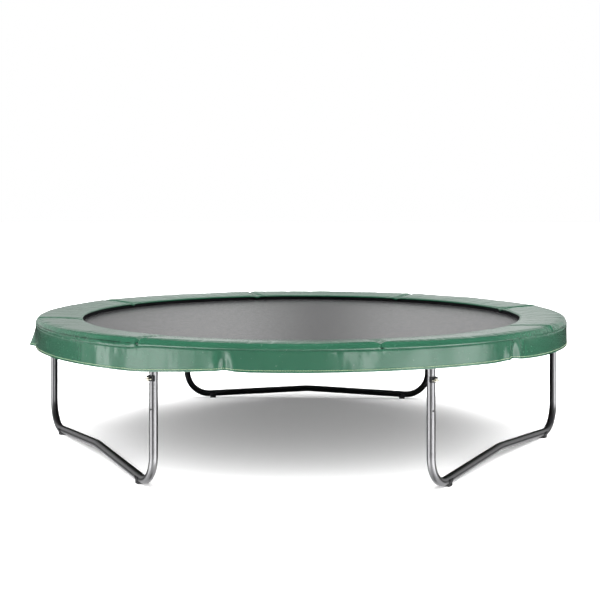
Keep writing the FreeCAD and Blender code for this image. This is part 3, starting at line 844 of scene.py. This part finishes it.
def make_mat():
    """Woven disc that sags a little in the middle."""
    rings = np.linspace(0.02, 1, MAT_RINGS) ** 0.8
    angle = np.arange(0, 360, 1.0)
    share, turn = np.meshgrid(rings, angle, indexing="ij")
    sag = -MAT_SAG * (1 - share ** 2)
    radius = share * (MAT_RADIUS - RIM_GAP)
    top = ring_points(turn, radius, MAT_HIGH + sag)
    low = ring_points(turn, radius, MAT_LOW + sag)
    columns = len(angle)
    rows = len(rings)
    points = [np.array([[0, 0, MAT_HIGH - MAT_SAG]]), top.reshape(-1, 3), low[::-1].reshape(-1, 3),
              np.array([[0, 0, MAT_LOW - MAT_SAG]])]
    faces = [(0, 1 + column, 1 + (column + 1) % columns) for column in range(columns)]
    for a, b, c, d in grid_faces(2 * rows, columns, close_columns=True):
        faces.append((a + 1, d + 1, c + 1, b + 1))
    last = 1 + 2 * rows * columns
    start = last - columns
    faces += [(last, start + (column + 1) % columns, start + column) for column in range(columns)]
    mat = new_piece("woven_mat", np.concatenate(points), faces, LOOKS["mat_weave"])
    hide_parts("jumping_mat")
    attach(mat, "mat")


# ---------------------------------------------------------------- springs
COIL_RADIUS = 11 * MM
WIRE = 3.2 * MM
TURNS = 24
HOOK = 16.5 * MM          # from the tip of a hook to the first turn of the coil
STEPS_PER_TURN = 14
WIRE_SIDES = 7


def spring_line(tip_at_mat, tip_at_ring):
    """Middle line of the wire: hook, close coil, hook; x runs outwards, z is from the coil's axis."""
    hook = [(0, -11), (0, -7), (0.3, -3), (1.4, -1), (4, 0), (9, 0)]
    points = [(tip_at_mat + x * MM, 0, z * MM) for x, z in hook]
    coil_start, coil_end = tip_at_mat + HOOK, tip_at_ring - HOOK
    mean = COIL_RADIUS - WIRE / 2
    steps = TURNS * STEPS_PER_TURN
    for share in np.linspace(0, 1, steps + 1):
        spin = share * TAU * TURNS
        ease = min(1.0, share * TURNS / 0.9, (1 - share) * TURNS / 0.9)
        reach = mean * ease * ease * (3 - 2 * ease)
        along = coil_start + (coil_end - coil_start) * share
        points.append((along, reach * math.sin(spin), reach * math.cos(spin)))
    points += [(tip_at_ring - x * MM, 0, z * MM) for x, z in reversed(hook)]
    return np.array(points, float)


def make_springs():
    inner, outer = node_ring("springs_1")[:2]
    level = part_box("springs_1")[1].z - COIL_RADIUS
    tip_at_mat, tip_at_ring = inner + WIRE / 2, outer - WIRE / 2
    line = spring_line(tip_at_mat, tip_at_ring) + [0, 0, level]
    for number in range(SPRINGS):
        angle = FIRST_SPRING + number * SPRING_PITCH
        points, faces = swept_tube(turned(line, angle), WIRE / 2, WIRE_SIDES)
        coil = new_piece(f"coil_spring_{number + 1:02d}", points, faces, LOOKS["spring_steel"])
        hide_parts(f"springs_{number // 10 + 1}")
        far, near = ring_points(np.array([angle, angle]), np.array([tip_at_ring, tip_at_mat]), level)
        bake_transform(coil)


# ---------------------------------------------------------------- carried-over CAD nodes
def finish_cad_nodes():
    """Give every CAD node that stays its material."""
    slots = {part["node"]: part["material_slot"] for part in frame["record"]["subparts"]}
    for name, node in frame["nodes"].items():
        look = LOOKS.get(slots[name])
        if look is None:
            continue
        if node.material_slots:
            for material_slot in node.material_slots:
                material_slot.material = look
        else:
            node.data.materials.append(look)


# ---------------------------------------------------------------- stage
def soft_box(nodes, direction, turn, azimuths, elevations, side_blur, end_blur, level):
    """Light from a window of directions: (low, high) in degrees about an azimuth, edges blurred."""
    turned = nodes.node("ShaderNodeVectorRotate", rotation_type="Z_AXIS", Angle=-math.radians(turn))
    nodes.link(direction, turned.inputs["Vector"])
    parts = nodes.node("ShaderNodeSeparateXYZ")
    nodes.link(turned.outputs["Vector"], parts.inputs["Vector"])
    azimuth = nodes.math("ARCTAN2", parts.outputs["Y"], parts.outputs["X"])
    elevation = nodes.math("ARCSINE", parts.outputs["Z"])
    light = level
    windows = ((azimuth, azimuths, side_blur), (elevation, elevations, end_blur))
    for value, (low, high), (low_blur, high_blur) in windows:
        low, high = math.radians(low), math.radians(high)
        low_blur, high_blur = math.radians(low_blur), math.radians(high_blur)
        light = nodes.math("MULTIPLY", nodes.rising(value, low - low_blur, low + low_blur), light)
        falling = nodes.math("SUBTRACT", 1.0, nodes.rising(value, high - high_blur, high + high_blur))
        light = nodes.math("MULTIPLY", light, falling)
    return light


def studio_world():
    """White to the camera; in reflections a dark room with the boxes of SOFT_BOXES in it."""
    world = bpy.data.worlds.new("studio")
    world.use_nodes = True
    nodes = Nodes(world.node_tree)
    direction = nodes.node("ShaderNodeTexCoord").outputs["Generated"]
    light = ROOM_LEVEL
    for box in SOFT_BOXES:
        light = nodes.math("ADD", soft_box(nodes, direction, *box), light)
    room = nodes.tree.nodes["Background"]
    nodes.link(light, room.inputs["Color"])
    white = nodes.node("ShaderNodeBackground", Color=(1, 1, 1, 1), Strength=1.0)
    rays = nodes.node("ShaderNodeLightPath")
    mixed = nodes.node("ShaderNodeMixShader")
    nodes.link(rays.outputs["Is Camera Ray"], mixed.inputs["Fac"])
    nodes.link(room.outputs["Background"], mixed.inputs[1])
    nodes.link(white.outputs["Background"], mixed.inputs[2])
    nodes.link(mixed.outputs["Shader"], nodes.tree.nodes["World Output"].inputs["Surface"])
    return world


ROOM_LEVEL = 0.06
# Fitted to the reflections in the photograph. A level below nought takes light away again.
SOFT_BOXES = [  # middle azimuth, azimuths from it, elevations, blur of sides, blur of ends, level
    (90, (-85, 88), (-3.5, 30), (4, 6), (2, 18), 0.39),
    (90, (-16, 16), (-14, -3.5), (4, 4), (4, 2), 0.38),
    (90, (-10, 9.5), (-3.5, 14), (3, 2.5), (2, 6), 0.2),
    (91, (-1.8, 1.8), (-3.5, 12), (3, 3), (1.5, 3), -0.53),
    (90, (-190, 190), (-75, -19), (5, 5), (5, 4), 0.75),
    (270, (-38, 38), (-16, 30), (8, 8), (5, 10), 0.08),
    (171, (-1, 1), (-40, 0), (1, 1), (8, 4), 1.6),
    (184.5, (-3.8, 3.8), (-40, 0), (1, 1), (8, 4), 3.6),
    (211, (-15.5, 22), (-40, 0), (2.5, 9), (8, 4), 1.75),
    (202, (-4.5, 4.5), (-40, 0), (2, 2), (8, 4), 1.4),
    (214, (-4.0, 4.0), (-40, 0), (2, 2), (8, 4), 1.5),
    (290.5, (-1.8, 1.8), (-40, 0), (1.2, 1.2), (8, 4), 4.5),
    (299, (-2.6, 2.6), (-40, 0), (1.2, 1.2), (8, 4), 5.0),
    (331, (-26, 24), (-40, 0), (5, 2.5), (8, 4), 1.9),
    (322, (-5, 5), (-40, 0), (2, 2), (8, 4), 1.2),
    (341, (-6, 6), (-40, 0), (2, 2), (8, 4), 1.3),
]


def sun(name, tilt, turn, spread, strength):
    """A broad lamp far away; tilt from straight overhead, turn about +Z, all in degrees."""
    light = bpy.data.lights.new(name, "SUN")
    light.angle = math.radians(spread)
    light.energy = strength
    lamp = bpy.data.objects.new(name, light)
    bpy.context.scene.collection.objects.link(lamp)
    lamp.rotation_euler = (math.radians(tilt), 0, math.radians(turn))
    lamp.location = (0, 0, 6)
    lamp.visible_glossy = False
    return lamp


FLOOR_HALF = 60           # metres
SUNS = (                  # name, tilt, turn, spread, strength; these light all but the floor
    ("top_light", 6, 0, 40, 5.5),
    ("left_light", 78, -90, 56, 2.5),
    ("right_light", 78, 90, 56, 2.5),
)
FLAG_INSIDE = 1.2         # radius in metres of the painted-shade wall inside the legs, and of the one behind them
FLAG_BEHIND = 1.62
FLAG_TOP = 0.62


def make_stage():
    """Floor, world, lamps, and flags that paint shade into reflections."""
    half = FLOOR_HALF
    corners = [(-half, -half, 0), (half, -half, 0), (half, half, 0), (-half, half, 0)]
    floor = new_piece("floor", corners, [(0, 1, 2, 3)], floor_paint())
    floor.visible_glossy = False
    scene = bpy.context.scene
    scene.view_settings.view_transform = "Standard"
    scene.view_settings.look = "None"
    scene.world = studio_world()
    lit_floor = bpy.data.collections.new("lit_floor")
    lit_floor.objects.link(floor)
    unlit_floor = bpy.data.collections.new("unlit_floor")
    unlit_floor.objects.link(floor)
    unlit_floor.collection_objects[0].light_linking.link_state = "EXCLUDE"
    sun("overhead", 10, 0, 100, 0.7)
    sun("floor_light", 28, 0, 120, 11.0).light_linking.receiver_collection = lit_floor
    for settings in SUNS:
        sun(*settings).light_linking.receiver_collection = unlit_floor
    make_shade_flags()


def make_shade_flags():
    """Painted shade seen only in reflections: black sheets standing in for the shaded floor and underside,
    a wall inside the legs, one behind, and the floor between.
    """
    black = Look("painted_shade_cloth", (0.01, 0.01, 0.01), 1.0, Specular_IOR_Level=0.0).material
    meshes = []
    for radius, turns in ((FLAG_INSIDE, np.arange(0, 361, 5.0)), (FLAG_BEHIND, np.arange(10, 171, 5.0))):
        wall = ring_points(turns[:, None], radius, np.array([[0.01, FLAG_TOP]]))
        meshes.append((wall, grid_faces(len(turns), 2)))
    turns = np.arange(15, 166, 5.0)
    sheet = ring_points(turns[:, None], np.array([[0.1, FLAG_BEHIND]]), 0.006)
    meshes.append((sheet, grid_faces(len(turns), 2)))
    flags = join_meshes("painted_shade_flags", meshes, black)
    for kind in ("camera", "diffuse", "shadow", "transmission", "volume_scatter"):
        setattr(flags, "visible_" + kind, False)


CAMERA_LENS = 68.45       # millimetres, on a sensor 36 mm wide
CAMERA_SHIFT = (-0.0021, -0.1666)
CAMERA_DISTANCE = 6.754   # metres from the middle of the trampoline
CAMERA_HEIGHT = 1.386
CAMERA_TURN = 1.91        # degrees to the right of straight in front


def make_camera():
    """The camera looks level, and its shift places the trampoline as in the photograph."""
    camera = bpy.data.cameras.new("camera")
    camera.sensor_width = 36
    camera.lens = CAMERA_LENS
    camera.shift_x, camera.shift_y = CAMERA_SHIFT
    camera.clip_end = 200
    holder = bpy.data.objects.new("camera", camera)
    bpy.context.scene.collection.objects.link(holder)
    turn = math.radians(CAMERA_TURN)
    x, y = CAMERA_DISTANCE * math.sin(turn), -CAMERA_DISTANCE * math.cos(turn)
    holder.location = (x, y, CAMERA_HEIGHT)
    holder.rotation_euler = (math.pi / 2, 0, turn)
    bpy.context.scene.camera = holder


make_camera()
make_stage()
make_pad()
make_pad_stitches()
make_backing()
make_straps()
make_mat()
make_hem()
make_loops()
make_springs()
finish_cad_nodes()
